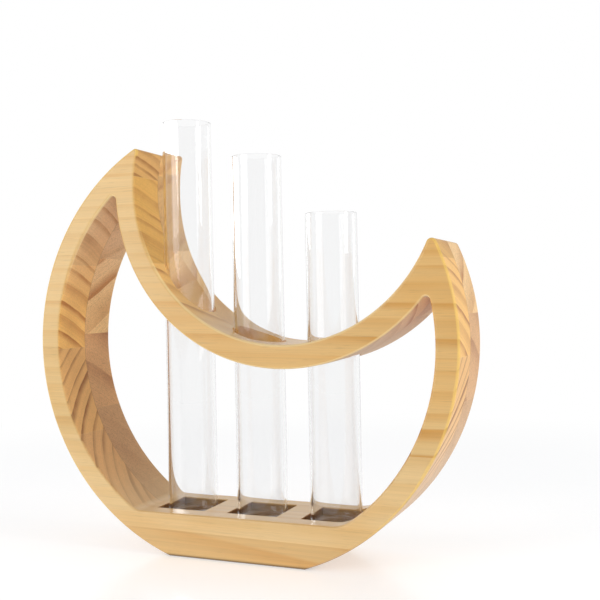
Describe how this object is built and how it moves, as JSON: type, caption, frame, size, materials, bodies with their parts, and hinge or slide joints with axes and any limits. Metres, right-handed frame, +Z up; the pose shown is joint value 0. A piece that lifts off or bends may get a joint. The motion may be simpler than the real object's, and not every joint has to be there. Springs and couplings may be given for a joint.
{
  "type": "test tube vase",
  "caption": "Crescent-moon stand of glued-up pine with a flat foot, a holed concave deck and a pocketed shelf that hold clear glass test tubes upright for cut stems.",
  "frame": {"origin": "on the table, at the middle of the flat foot, under the middle of the ring", "axes": "+Z up along the tubes, +X to the right of the front face along the row of tubes, +Y from the front face to the back"},
  "size_m": [0.22, 0.045, 0.2155],
  "materials": {
    "pine": "sanded pine with a clear matt oil",
    "glass": "clear polished borosilicate"
  },
  "bodies": {
    "stand": {"back_stave_1": "pine", "back_stave_2_left": "pine", "back_stave_2_right": "pine", "back_stave_3_left": "pine", "back_stave_3_middle": "pine", "back_stave_3_right": "pine", "back_stave_4_left": "pine", "back_stave_4_middle": "pine", "back_stave_4_right": "pine", "back_stave_5": "pine", "back_stave_6": "pine", "front_stave_1": "pine", "front_stave_2": "pine", "front_stave_3_left": "pine", "front_stave_3_middle": "pine", "front_stave_3_right": "pine", "front_stave_4_left": "pine", "front_stave_4_right": "pine", "front_stave_5_left": "pine", "front_stave_5_right": "pine", "front_stave_6": "pine"},
    "long_tube": {"long_tube": "glass"},
    "medium_tube": {"medium_tube": "glass"},
    "short_tube": {"short_tube": "glass"}
  },
  "joints": [
    {"name": "long_tube_lift", "type": "slide", "parent": "stand", "child": "long_tube", "axis": [0, 0, 1], "range_m": [0, 0.14]},
    {"name": "medium_tube_lift", "type": "slide", "parent": "stand", "child": "medium_tube", "axis": [0, 0, 1], "range_m": [0, 0.105]},
    {"name": "short_tube_lift", "type": "slide", "parent": "stand", "child": "short_tube", "axis": [0, 0, 1], "range_m": [0, 0.105]}
  ]
}
